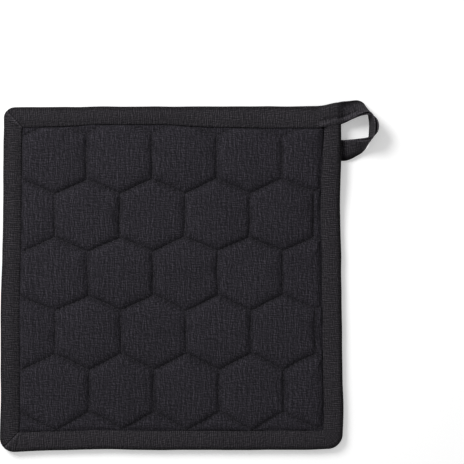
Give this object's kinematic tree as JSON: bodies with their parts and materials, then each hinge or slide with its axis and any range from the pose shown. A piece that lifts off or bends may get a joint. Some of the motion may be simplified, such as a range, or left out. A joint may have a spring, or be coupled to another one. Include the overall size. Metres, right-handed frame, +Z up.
{
  "type": "quilted pot holder",
  "caption": "Square padded pot holder, honeycomb-quilted in washed black cotton, with a bound edge and a hanging loop at one corner, lying flat.",
  "frame": {"origin": "middle of the quilted square, on the surface that it lies on", "axes": "+X across the front from left to right, +Y from the bottom edge to the top edge, +Z up, out of the front"},
  "size_m": [0.2231, 0.2088, 0.0126],
  "materials": {
    "quilted_cotton": "washed black plain-weave cotton, matt, with paler flecks along the threads, quilted in soft channels",
    "binding_cotton": "the same cotton as a folded strip, fine ribs across it, slightly paler along its folds"
  },
  "bodies": {
    "root": {"quilted_pad": "quilted_cotton", "binding": "binding_cotton", "hanging_loop": "binding_cotton"}
  },
  "joints": []
}
